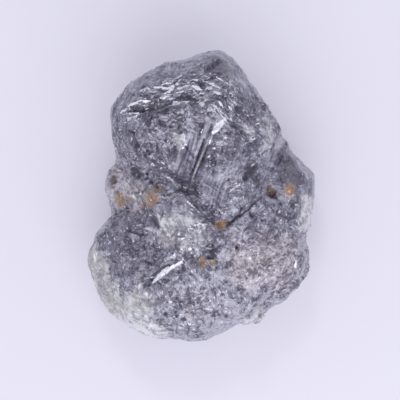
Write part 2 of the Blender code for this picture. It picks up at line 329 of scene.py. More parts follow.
WAIST_MARKS = marks(
    BROWN,
    (((-3.54, 0.77), (-3.6, 0.52)), 0.15, -0.14, 0.8),
    (((-2.32, -0.33), (-2.28, -0.66)), 0.13, -0.08, 0.7),
    (((-1.8, 0.4), (-1.72, 0.36)), 0.11, -0.06, 0.6),
) + marks(
    CREAM,
    (((-3.65, 1.15), (-3.45, 0.95)), 0.2, 0.04),
    (((-3.5, 0.2), (-3.3, -0.5)), 0.25, 0.0, 0.9),
    (((-1.62, 0.06), (-1.58, 0.0)), 0.13, 0.02, 0.7),
) + marks(
    RUST,
    (((-3.36, 0.05), (-3.27, -0.4)), 0.2, -0.06, 0.66),
    (((-2.92, -0.1), (-2.88, -0.2)), 0.09, -0.05, 0.7),
    (((-2.3, -0.32), (-2.28, -0.42)), 0.11, -0.03, 0.7),
    (((-1.97, 0.08), (-1.98, -0.32)), 0.23, -0.04, 0.9),
    (((-1.85, 0.3), (-1.66, 0.2)), 0.2, -0.04, 0.8),
) + marks(
    MILKY,
    (((-2.75, 0.03), (-2.5, -0.12)), 0.13, 0.08, 0.9),
) + marks(
    # the white that the painted glints use, here for a white crumb's own white
    GLINT,
    (((-2.74, 0.02), (-2.58, -0.08)), 0.09, 0.0, 0.8),
)

LOWER_MARKS = marks(
    RUST,
    (((0.69, -1.22), (0.95, -1.08)), 0.18, 0.02),
    (((-0.02, -2.66), (0.14, -2.76)), 0.22, -0.04, 0.9),
    (((0.42, -2.66), (0.56, -2.72)), 0.14, -0.05, 0.75),
    (((-0.45, -4.58), (-0.42, -4.62)), 0.11, -0.02, 0.6),
) + marks(
    BROWN,
    (((1.2, -2.74), (1.3, -2.8)), 0.13, -0.03, 0.5),
    (((2.5, -2.45), (2.65, -2.65)), 0.25, 0.0, 0.4),
) + marks(
    PALE,
    (((-3.1, -1.25), (-2.2, -1.35)), 0.3, 0.09, 0.8),
    (((3.6, -0.45), (3.8, -0.75)), 0.3, 0.06, 0.9),
) + marks(
    MILKY,
    (((-1.72, -0.72), (-1.6, -1.05), (-1.4, -1.42)), 0.07, 0.08),
    (((-2.25, -1.3), (-1.75, -1.42)), 0.05, 0.05),
    (((1.9, -5.2), (2.2, -5.2)), 0.25, 0.04, 0.6),
    (((2.15, -5.0), (2.5, -4.75)), 0.25, 0.09, 0.6),
    (((-2.55, -4.4), (-2.5, -4.5)), 0.18, 0.08),
    (((-2.1, -5.15), (-2.0, -5.25)), 0.18, 0.06),
) + marks(
    # painted glints on flake edges
    GLINT,
    (((-1.95, -3.47), (-1.65, -3.22), (-1.36, -3.02), (-1.02, -2.82), (-0.75, -2.68)), 0.085, 0.05),
    (((-1.1, -2.4), (-1.02, -2.38)), 0.09, 0.05, 0.9),
    (((-0.8, -2.2), (-0.75, -2.16)), 0.07, 0.05, 0.7),
    (((-0.45, -2.15), (-0.38, -2.14)), 0.07, 0.05, 0.8),
    (((-0.25, -1.2), (0.0, -1.1), (0.15, -1.15)), 0.07, 0.05, 0.7),
    (((-0.6, -1.4), (-0.3, -1.3)), 0.06, 0.05, 0.7),
    (((3.84, -2.65), (3.8, -2.88)), 0.05, 0.04),
) + marks(
    DARK,
    # dark specks and cuts, with painted shade in them
    (((1.0, -1.1), (1.3, -1.05), (1.65, -0.75)), 0.07, -0.08, 0.7),
    (((0.2, -2.5), (0.5, -2.52)), 0.07, -0.1, 0.8),
    (((-1.95, -0.9), (-1.9, -1.15)), 0.22, -0.05, 0.6),
    (((-3.97, -1.55), (-3.85, -1.75)), 0.2, -0.03, 0.5),
    (((-1.95, -3.25), (-1.6, -3.05), (-1.3, -2.85)), 0.08, -0.1),
    (((1.42, -2.05), (1.48, -2.1)), 0.1, -0.1, 0.9),
    (((0.5, -4.88), (0.6, -4.94)), 0.11, -0.1),
    (((-0.72, -5.0), (-0.62, -5.03)), 0.1, -0.08),
    (((1.0, -4.93), (1.08, -4.9)), 0.08, -0.06, 0.8),
    (((-1.45, -4.75), (-1.35, -4.8)), 0.1, -0.05, 0.6),
    (((-0.45, -5.25), (-0.55, -5.7)), 0.055, -0.05, 0.6),
    (((-0.45, -4.3), (-0.55, -3.9)), 0.16, -0.06, 0.5),
) + marks(
    # painted glints on flake edges
    GLINT,
    (((-1.1, -4.85), (-0.95, -4.95)), 0.06, 0.05, 0.8),
    (((-0.5, -5.12), (-0.38, -5.18)), 0.06, 0.05, 0.8),
    (((0.2, -4.58), (0.65, -4.6)), 0.03, 0.03, 0.6),
    (((-1.25, -5.1), (-1.15, -5.15)), 0.07, 0.04, 0.6),
)

MARKS = RIDGE_MARKS + FRONT_MARKS + SHOULDER_MARKS + WAIST_MARKS + LOWER_MARKS

# The creases between the masses, deepened and given painted shade: each a path from above.
CREASES = (
    ((-3.7, 1.35), (-2.65, 0.95), (-1.5, 0.45), (-0.5, 0.2), (0.2, -0.5), (0.85, -1.32)),
    ((0.85, -1.32), (1.5, -0.9)),
    ((0.85, -1.32), (0.1, -2.6), (-1.0, -3.1), (-2.1, -3.4)),
    ((-3.7, -0.7), (-2.6, -0.7), (-2.05, -1.2)),
)

# Where the sides are let out or taken in: strokes that work on a side's whole height.
TRIMS = marks(
    None,
    (((2.9, 3.3), (2.3, 4.1), (1.8, 4.9)), 0.7, -0.17),
    (((-3.1, 4.1), (-2.0, 5.1), (-0.6, 5.6), (0.0, 5.75)), 0.6, -0.09),
    (((-3.9, -4.4), (-3.2, -5.2), (-2.0, -5.7)), 0.7, 0.11),
    (((-3.9, -0.1), (-3.85, 0.6)), 0.4, 0.06),
    (((4.35, -1.2), (4.5, -0.7)), 0.4, 0.06),
    (((2.2, -5.4), (1.9, -5.2)), 0.3, -0.08),
)

# The ridge that the thin flakes follow: a path from above.
RIDGE = ((-3.3, 3.3), (-2.6, 3.7), (-1.4, 4.1), (-0.4, 4.25), (0.5, 4.1), (1.1, 3.6), (1.9, 2.8))

CHANCES = (
    Chance(SHELL, 2.6, 1, 11.0, 0.05, 0.35, 0.8),
    Chance(MILKY, 2.2, 2, 23.0, 0.1, 0.5, 0.8),
    Chance(GREEN, 1.8, 1, 27.0, -0.1, 0.3),
    Chance(CREAM, 2.4, 1, 31.0, 0.1, 0.4, 0.7),
    Chance(DARK, 1.5, 2, 43.0, 0.2, 0.6, 0.5),
    Chance(RUST, 0.9, 2, 57.0, 0.62, 0.8),
    Chance(BROWN, 0.8, 2, 61.0, 0.6, 0.8, 0.7),
    Chance(COARSE, 2.0, 1, 67.0, -0.1, 0.3, 0.8),
    Chance(PALE, 2.8, 1, 83.0, -0.1, 0.4),
)


# --- Measuring and noise ---


def fade(value: np.ndarray, low: float, high: float) -> np.ndarray:
    """A smooth step over an array: 0 where the value is low or less, 1 where it is high or more."""
    share = np.clip((value - low) / (high - low), 0, 1)
    return share * share * (3 - 2 * share)


def bell(gap: np.ndarray, width: Union[float, np.ndarray]) -> np.ndarray:
    """A bell over an array of distances: 1 at 0, a third at the width, and 0 far off."""
    return np.exp(-((gap / width) ** 2))


def path_place(points: np.ndarray, path: Path) -> tuple[np.ndarray, np.ndarray]:
    """Where points are, seen from above, beside a path.

    Args:
        points: a row of X, Y, Z for each point.
        path: the path's corners.

    Returns:
        For each point, its distance from the path, and how far along the path it is, from 0 to 1.
    """
    corners = np.array(path)
    lengths = np.hypot(*np.diff(corners, axis=0).T)
    nearest, place = np.full(len(points), np.inf), np.zeros(len(points))
    done = 0.0
    for start, end, length in zip(corners[:-1], corners[1:], lengths):
        along = end - start
        share = np.clip((points[:, :2] - start) @ along / length**2, 0, 1)
        gap = np.hypot(*(points[:, :2] - start - share[:, None] * along).T)
        closer = gap < nearest
        nearest = np.where(closer, gap, nearest)
        place = np.where(closer, (done + share * length) / lengths.sum(), place)
        done += length
    return nearest, place


def inside(points: np.ndarray, outline: Path) -> np.ndarray:
    """Whether points, seen from above, are inside a closed outline.

    Args:
        points: a row of X, Y, Z for each point.
        outline: the outline's corners.

    Returns:
        True or False for each point.
    """
    within = np.zeros(len(points), dtype=bool)
    x, y = points[:, 0], points[:, 1]
    for (x0, y0), (x1, y1) in zip(outline, outline[1:] + outline[:1]):
        if y0 != y1:
            crosses = (y0 > y) != (y1 > y)
            within ^= crosses & (x < (x1 - x0) * (y - y0) / (y1 - y0) + x0)
    return within


def lumps(points: np.ndarray, size: Union[float, Sequence[float]], shift: float = 0.0) -> np.ndarray:
    """Smooth noise, from about -1 to 1.

    Args:
        points: a row of coordinates for each point.
        size: the size of the lumps, or a size along each axis.
        shift: moves the pattern, so that two of one size differ.

    Returns:
        The noise at each point.
    """
    rows = (points / np.array(size) + shift).tolist()
    return np.array([noise.noise(row) for row in rows])


def crags(points: np.ndarray, size: float, layers: int, shift: float = 0.0) -> np.ndarray:
    """Noise of several sizes, each half as large and half as strong as the one before."""
    return sum(lumps(points, size / 2**k, shift + 3.7 * k) / 2**k for k in range(layers))


def grains(points: np.ndarray, size: float, shift: float) -> np.ndarray:
    """Crystal grains, each with one flat face that leans its own way.

    Args:
        points: a row of X, Y, Z for each point, in millimetres.
        size: the size of a grain, in millimetres.
        shift: moves the pattern.

    Returns:
        For each point, the height of its grain's face, as a share of the grain's size.
    """
    heights = []
    for row in (points / size + shift).tolist():
        site = noise.voronoi(row)[1][0]
        lean = noise.cell_vector(site * 5.3)
        heights.append(sum((a - 0.5) * (b - c) for a, b, c in zip(lean, row, site)))
    return np.array(heights)


# --- The stone's shape ---


@dataclass
class RoughDiamond:
    """The stone: its skin, carved coarse to fine, and its material. Sizes are in millimetres."""

    cell: float = 0.0555                        # cell of the fine mesh on the upper side
    bench_height: float = 0.66                  # share of the height left while the mesh is drawn
    bench_foot: float = 0.55                    # share of the width left at the foot
    bench_band: tuple = (0.3, 3.0)              # the heights from the foot's width to the full width
    weld: float = 0.001
    smoothing: int = 10
    lump_size: float = 1.1
    lump_height: float = 0.09
    bump_size: float = 0.5
    bump_height: float = 0.06
    grain_sizes: tuple = (0.62, 0.34, 0.2)
    grain_lean: tuple = (0.2, 0.3, 0.26)
    facet_size: float = 1.3
    facet_lean: float = 0.2
    grit_size: float = 0.2
    grit_height: float = 0.012
    flake_size: tuple = (0.8, 0.2, 0.6)         # along the ridge, across it, and up
    flake_height: float = 0.05
    ridge_band: tuple = (0.8, 0.35)             # how far from the ridge its flakes start and are full
    furrow_run: tuple = (-0.3, -0.954)          # the way the furrows run, seen from above
    furrow_width: float = 0.16
    furrow_length: float = 2.2
    furrow_depth: float = 0.05
    pit_sorts: tuple = ((0.75, 0.11, 0.08), (0.42, 0.07, 0.05))     # spacing, radius and depth
    pit_gaps: float = 0.55                      # share of the pits' places that stay whole
    pit_shade: float = 0.55
    pit_sway: float = 0.12                      # how far from round the pits are
    crease_depth: float = 0.07
    crease_width: float = 0.12
    crease_shade: float = 0.42
    crease_wander: float = 0.12
    mark_wander: float = 0.3                    # share by which a mark's width varies
    mark_taper: float = 0.45                    # share of its width that a mark loses at its ends
    trim_band: tuple = (0.8, 2.0)               # the heights over which the trims fade in
    flank_light_band: tuple = (3.2, 4.8)               # the heights over which the painted light on the low flanks ends
    wander_size: float = 0.7                    # the ragged edges of the patches
    wander_reach: float = 0.5
    edge_angle: float = 32.0                    # in degrees: sharper edges than this stay crisp
    seen_band: tuple = (-0.15, 0.2)             # how far the skin faces up, from -1 to 1
    up_band: tuple = (0.1, 0.6)
    rim_band: tuple = (0.1, 0.5)
    points: np.ndarray = field(init=False)      # the skin before it is carved
    seen: np.ndarray = field(init=False)        # 1 on the upper side, 0 on the lower
    faces_up: np.ndarray = field(init=False)    # 1 where the skin faces up, 0 on steep flanks
    off_rim: np.ndarray = field(init=False)     # 0 where the skin stands upright, 1 elsewhere
    regions: dict[Region, np.ndarray] = field(init=False)

    def build(self) -> bpy.types.Object:
        """Makes the stone and dresses it.

        Returns:
            The finished piece.
        """
        stone = self.draw_skin()
        self.carve(stone)
        self.set_down(stone)
        stone.data.materials.clear()
        stone.data.materials.append(StoneFinish().material())
        return stone

    def draw_skin(self) -> bpy.types.Object:
        """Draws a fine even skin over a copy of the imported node, in millimetres.

        Returns:
            The new piece.
        """
        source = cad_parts[NODE]
        stone = bpy.data.objects.new(PIECE, source.data.copy())
        bpy.context.scene.collection.objects.link(stone)
        stone.data.transform(Matrix.Scale(1 / MILLIMETRE, 4))
        bpy.ops.object.select_all(action="DESELECT")
        stone.select_set(True)
        bpy.context.view_layer.objects.active = stone
        bpy.ops.object.mode_set(mode="EDIT")
        bpy.ops.mesh.select_all(action="SELECT")
        bpy.ops.mesh.remove_doubles(threshold=self.weld)
        bpy.ops.object.mode_set(mode="OBJECT")
        self.squeeze(stone, undo=False)
        self.apply(stone, "REMESH", mode="VOXEL", voxel_size=self.cell)
        self.squeeze(stone, undo=True)
        self.apply(stone, "SMOOTH", factor=0.5, iterations=self.smoothing)
        log.info("skin: %d faces", len(stone.data.polygons))
        return stone

    def squeeze(self, stone: bpy.types.Object, undo: bool) -> None:
        """Squeezes the sides and the underside, so that a mesh drawn then is finest on the upper side.

        Args:
            stone: the piece, in millimetres.
            undo: whether to let it out again.
        """
        points, _ = self.read(stone)
        if undo:
            points[:, 2] /= self.bench_height
        width = self.bench_foot + (1 - self.bench_foot) * fade(points[:, 2], *self.bench_band)
        points[:, :2] *= (1 / width if undo else width)[:, None]
        if not undo:
            points[:, 2] *= self.bench_height
        self.write(stone, points)

    @staticmethod
    def apply(stone: bpy.types.Object, kind: str, **settings: object) -> None:
        """Adds a modifier and applies it.

        Args:
            stone: the piece.
            kind: the modifier's type.
            settings: its settings.
        """
        modifier = stone.modifiers.new(kind.title(), kind)
        for name, value in settings.items():
            setattr(modifier, name, value)
        bpy.ops.object.modifier_apply(modifier=modifier.name)

    @staticmethod
    def read(stone: bpy.types.Object) -> tuple[np.ndarray, np.ndarray]:
        """Reads the skin.

        Args:
            stone: the piece.

        Returns:
            Its points and its normals, a row each.
        """
        count = len(stone.data.vertices)
        points, normals = np.empty(count * 3), np.empty(count * 3)
        stone.data.vertices.foreach_get("co", points)
        stone.data.vertices.foreach_get("normal", normals)
        return points.reshape(-1, 3), normals.reshape(-1, 3)

    @staticmethod
    def write(stone: bpy.types.Object, points: np.ndarray) -> None:
        """Moves the skin's points to new places."""
        stone.data.vertices.foreach_set("co", points.ravel())
        stone.data.update()

    def carve(self, stone: bpy.types.Object) -> None:
        """Carves the skin with one tool after the other, and writes what they leave on it.

        Args:
            stone: the piece, in millimetres.
        """
        self.points, normals = self.read(stone)
        self.lay_regions(normals[:, 2])
        tools = (
            self.rough_ground,
            self.crystal_relief,
            self.flaked_ledges,
            self.striations,
            self.pits,
            self.creases,
            self.marks,
            self.trims,
        )
        rise = sum(tool() for tool in tools)
        self.write(stone, self.points + normals * rise[:, None])
        for region, amount in self.regions.items():
            layer = stone.data.attributes.new(region.value, "FLOAT", "POINT")
            layer.data.foreach_set("value", np.clip(amount, 0, 1).astype(np.float32))

    def add(self, region: Region, amount: np.ndarray) -> None:
        """Adds to a region: the greater of what it holds and the new amount."""
        self.regions[region] = np.maximum(self.regions[region], amount)

    def lay_regions(self, rises: np.ndarray) -> None:
        """Lays out the regions: patches on the upper side, and noise on the sides and underneath.

        Args:
            rises: how far the skin faces up at each point, from -1 to 1.
        """
        points = self.points
        self.seen = fade(rises, *self.seen_band)
        self.faces_up = fade(rises, *self.up_band)
        self.off_rim = fade(np.abs(rises), *self.rim_band)
        self.regions = {region: np.zeros(len(points)) for region in Region}
        for chance in CHANCES:
            cloud = crags(points, chance.size, chance.layers, chance.shift)
            share = fade(cloud, chance.start, chance.full) * chance.amount
            self.regions[chance.region] = share * (1 - self.seen)
        # painted light on the steep low flanks, near the foot
        self.regions[THIN] = (1 - self.faces_up) * (1 - fade(points[:, 2], *self.flank_light_band))
        ragged = self.wander_reach * crags(points, self.wander_size, 4, 5.0)
        for patch in PATCHES:
            gap, _ = path_place(points, patch.outline + patch.outline[:1])
            depth = np.where(inside(points, patch.outline), gap, -gap) + ragged * min(patch.edge * 2, 1)
            self.add(patch.region, patch.amount * self.seen * fade(depth, -patch.edge, patch.edge))

    def rough_ground(self) -> np.ndarray:
        """The stone's own lumps, and the rounded bumps on them.

        Returns:
            The rise at each point.
        """
        ground = self.lump_height * crags(self.points, self.lump_size, 3)
        bumps = self.bump_height * np.abs(lumps(self.points, self.bump_size, 2.0))
        return ground + bumps * (1 - 0.4 * self.regions[SHELL])

    def crystal_relief(self) -> np.ndarray:
        """The leaning faces of the crystal grains, from the facets of the stone down to the grit.

        Returns:
            The rise at each point.
        """
        smooth = np.maximum(self.regions[SHELL], 0.6 * self.regions[MILKY])
        smooth = np.maximum(smooth, 0.8 * self.regions[STRIPE])
        coarse = self.regions[COARSE] * (1 - smooth)
        rise = np.zeros(len(self.points))
        shares = (0.35 + 0.65 * coarse, 1 - 0.8 * smooth, 1 - 0.85 * smooth)
        for size, lean, share in zip(self.grain_sizes, self.grain_lean, shares):
            rise += size * lean * grains(self.points, size, size) * share
        rise += self.facet_size * self.facet_lean * grains(self.points, self.facet_size, 4.0) * self.off_rim
        return rise + self.grit_height * (1 - 0.8 * smooth) * crags(self.points, self.grit_size, 2, 9.0)

    def flaked_ledges(self) -> np.ndarray:
        """The thin flakes along the ridge and here and there below it, one above the other.

        Returns:
            The rise at each point.
        """
        x, y, z = self.points.T
        here = fade(self.faces_up, 0.3, 0.8) * fade(path_place(self.points, RIDGE)[0], *self.ridge_band)
        elsewhere = 0.5 * self.faces_up * fade(crags(self.points, 1.8, 2, 71.0), 0.25, 0.6)
        here = np.maximum(here, elsewhere * (1 - self.regions[SHELL]))
        across = y - np.interp(x, *np.array(RIDGE).T) + 0.12 * lumps(self.points, 0.7, 13.0)
        self.regions[LEDGE] = here
        self.regions[ACROSS] = 0.5 + 0.5 * across
        return here * self.flake_height * lumps(np.stack([x, across, z], axis=1), self.flake_size, 17.0)

    def striations(self) -> np.ndarray:
        """The straight furrows of the wedge, side by side.

        Returns:
            The rise at each point.
        """
        x, y, _ = self.points.T
        run_x, run_y = self.furrow_run
        along = x * run_x + y * run_y
        across = y * run_x - x * run_y
        bed = np.stack([across / self.furrow_width, along / self.furrow_length, 0 * along], axis=1)
        return self.furrow_depth * (self.seen * self.regions[STRIPE]) * lumps(bed, 1.0, 29.0)

    def pits(self) -> np.ndarray:
        """Small round etch pits, scattered over the whole stone, with painted shade in them.

        Returns:
            The rise at each point.
        """
        rise = np.zeros(len(self.points))
        sway = np.stack([lumps(self.points, 0.25, shift) for shift in (1.0, 2.0, 3.0)], axis=1)
        bent = self.points + self.pit_sway * sway
        for spacing, radius, depth in self.pit_sorts:
            near = []
            for row in (bent / spacing + 7.7).tolist():
                distances, sites = noise.voronoi(row)
                near.append(distances[0] if noise.cell(sites[0] * 9.7) % 1.0 > self.pit_gaps else np.inf)
            pit = fade(np.array(near) * spacing, radius, 0.3 * radius)
            rise -= depth * pit
            # painted shade in the pits
            self.add(DARK, self.pit_shade * pit)
        return rise

    def creases(self) -> np.ndarray:
        """The creases between the masses, deepened and darkened with painted shade.

        Returns:
            The rise at each point.
        """
        wander = self.crease_wander * crags(self.points, 0.6, 2, 3.0)
        gap = np.min([path_place(self.points, path)[0] for path in CREASES], axis=0) + wander
        depth = self.seen * bell(gap, self.crease_width)
        # painted shade in the creases
        self.add(DARK, self.crease_shade * depth)
        return -self.crease_depth * depth

    def marks(self) -> np.ndarray:
        """The single flakes, furrows, pits and grains, with painted glints on flake edges and painted shade
        in the cuts. A painted glint has nothing dark on it.

        Returns:
            The rise at each point.
        """
        rise = np.zeros(len(self.points))
        wander = self.mark_wander * crags(self.points, 0.22, 2, 15.0)
        for mark in MARKS:
            gap, place = path_place(self.points, mark.path)
            taper = 1 - self.mark_taper + self.mark_taper * np.sin(np.pi * place)
            width = mark.width * taper / (1 + wander)
            touch = self.seen * bell(gap, width)
            rise += mark.rise * touch
            if mark.region is not None:
                self.add(mark.region, mark.amount * np.clip(1.3 * touch, 0, 1))
            # a painted glint clears the painted shade and dark specks under it
            if mark.region is GLINT:
                self.regions[DARK] *= 1 - np.clip(1.5 * touch, 0, 1)
        return rise

    def trims(self) -> np.ndarray:
        """The sides let out or taken in, above the foot.

        Returns:
            The rise at each point.
        """
        touches = (trim.rise * bell(path_place(self.points, trim.path)[0], trim.width) for trim in TRIMS)
        return fade(self.points[:, 2], *self.trim_band) * sum(touches)

    def set_down(self, stone: bpy.types.Object) -> None:
        """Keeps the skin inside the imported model's box, flat on the floor, and brings it to metres.

        Args:
            stone: the piece, in millimetres.
        """
        points, _ = self.read(stone)
        low, high = (np.array(corner) / MILLIMETRE for corner in CAD_BOX)
        self.write(stone, np.clip(points, low, high) * MILLIMETRE)
        bpy.ops.object.select_all(action="DESELECT")
        stone.select_set(True)
        bpy.ops.object.shade_smooth_by_angle(angle=math.radians(self.edge_angle))


# --- Shader nodes ---


class Value:
    """A number that a material's nodes work out: an output socket, on which operators add nodes."""

    def __init__(self, board: "Board", socket: bpy.types.NodeSocket) -> None:
        """Wraps a socket.

        Args:
            board: the board that the socket's node is on.
            socket: the output socket.
        """
        self.board = board
        self.socket = socket

    def __add__(self, other: "Input") -> "Value":
        """The sum."""
        return self.board.maths("ADD", self, other)

    def __radd__(self, other: "Input") -> "Value":
        """The sum, with the number first."""
        return self.board.maths("ADD", other, self)

    def __sub__(self, other: "Input") -> "Value":
        """The difference."""
        return self.board.maths("SUBTRACT", self, other)

    def __rsub__(self, other: "Input") -> "Value":
        """The difference, with the number first."""
        return self.board.maths("SUBTRACT", other, self)

    def __mul__(self, other: "Input") -> "Value":
        """The product."""
        return self.board.maths("MULTIPLY", self, other)

    def __rmul__(self, other: "Input") -> "Value":
        """The product, with the number first."""
        return self.board.maths("MULTIPLY", other, self)

    def clamped(self) -> "Value":
        """The value, kept from 0 to 1."""
        return self.board.maths("MINIMUM", self.board.maths("MAXIMUM", self, 0.0), 1.0)


Input = Union[Value, float, Sequence[float]]


class Board:
    """The node board of a material or of the world."""

    def __init__(self, owner: Union[bpy.types.Material, bpy.types.World], shader: str) -> None:
        """Opens the board.

        Args:
            owner: the material or the world.
            shader: the name of the shader that it starts with.
        """
        owner.use_nodes = True
        self.tree = owner.node_tree
        self.shader = self.tree.nodes[shader]

    def connect(self, socket: bpy.types.NodeSocket, value: Input) -> None:
        """Gives an input socket a link or a value.

        Args:
            socket: the input socket.
            value: what it is given.
        """
        if isinstance(value, Value):
            self.tree.links.new(value.socket, socket)
        else:
            socket.default_value = value

    def dress(self, inputs: Mapping[str, Input]) -> None:
        """Gives the shader's sockets their links or values, by name."""
        for name, value in inputs.items():
            self.connect(self.shader.inputs[name], value)

    def node(self, kind: str, settings: Mapping, inputs: Mapping) -> list[Value]:
        """Adds a node.

        Args:
            kind: the node's type.
            settings: its properties, and under "stops" a ramp's (position, colour) pairs.
            inputs: the values or links of its sockets, by name or by number.

        Returns:
            All its outputs.
        """
        node = self.tree.nodes.new(kind)
        for name, setting in settings.items():
            if name == "stops":
                self.set_stops(node.color_ramp, setting)
            else:
                setattr(node, name, setting)
        for key, value in inputs.items():
            self.connect(node.inputs[key], value)
        return [Value(self, socket) for socket in node.outputs]

    @staticmethod
    def set_stops(ramp: bpy.types.ColorRamp, stops: Stops) -> None:
        """Gives a colour ramp its stops.

        Args:
            ramp: the ramp.
            stops: a position and a colour for each stop.
        """
        while len(ramp.elements) < len(stops):
            ramp.elements.new(0.5)
        for element, (position, colour) in zip(ramp.elements, stops):
            element.position = position
            element.color = (*colour, 1.0)

    def maths(self, operation: str, *inputs: Input) -> Value:
        """The result of a Math node on numbers."""
        return self.node("ShaderNodeMath", {"operation": operation}, dict(enumerate(inputs)))[0]

    def vector(self, operation: str, *inputs: Input) -> Value:
        """The result of a Vector Math node on vectors, or on a vector and a scale."""
        sockets = (0, 3) if operation == "SCALE" else (0, 1)
        return self.node("ShaderNodeVectorMath", {"operation": operation}, dict(zip(sockets, inputs)))[0]

    def mix(self, factor: Input, first: Input, second: Input) -> Value:
        """A colour between two colours.

        Args:
            factor: 0 for the first colour, 1 for the second.
            first: a colour.
            second: a colour.

        Returns:
            The mixed colour.
        """
        pair = [(*c, 1.0) if isinstance(c, tuple) else c for c in (first, second)]
        return self.node("ShaderNodeMix", {"data_type": "RGBA"}, {0: factor, 6: pair[0], 7: pair[1]})[2]

    def ramp(self, stops: Stops, place: Value) -> Value:
        """The colour at a place on a colour ramp."""
        return self.node("ShaderNodeValToRGB", {"stops": stops}, {0: place})[0]

    def between(self, value: Input, low: float, high: float) -> Value:
        """A smooth step: 0 where the value is low or less, 1 where it is high or more."""
        inputs = {0: value, 1: low, 2: high, 3: 0.0, 4: 1.0}
        return self.node("ShaderNodeMapRange", {"interpolation_type": "SMOOTHSTEP"}, inputs)[0]

    def noise(self, place: Value, size: float, detail: float = 2.0, rough: float = 0.5) -> Value:
        """Soft noise.

        Args:
            place: the coordinates, in millimetres.
            size: the size of its lumps, in millimetres.
            detail: how many finer layers it has.
            rough: how strong they are.

        Returns:
            A number, mostly from 0.2 to 0.8.
        """
        inputs = {"Vector": place, "Scale": 1 / size, "Detail": detail, "Roughness": rough}
        return self.node("ShaderNodeTexNoise", {}, inputs)[0]

    def cells(self, place: Value, size: float) -> Value:
        """Crystal grains of a size in millimetres: each grain's own random colour."""
        return self.node("ShaderNodeTexVoronoi", {}, {"Vector": place, "Scale": 1 / size})[1]

    def part(self, colour: Value, index: int) -> Value:
        """One of a colour's or a vector's three numbers."""
        return self.node("ShaderNodeSeparateXYZ", {}, {0: colour})[index]


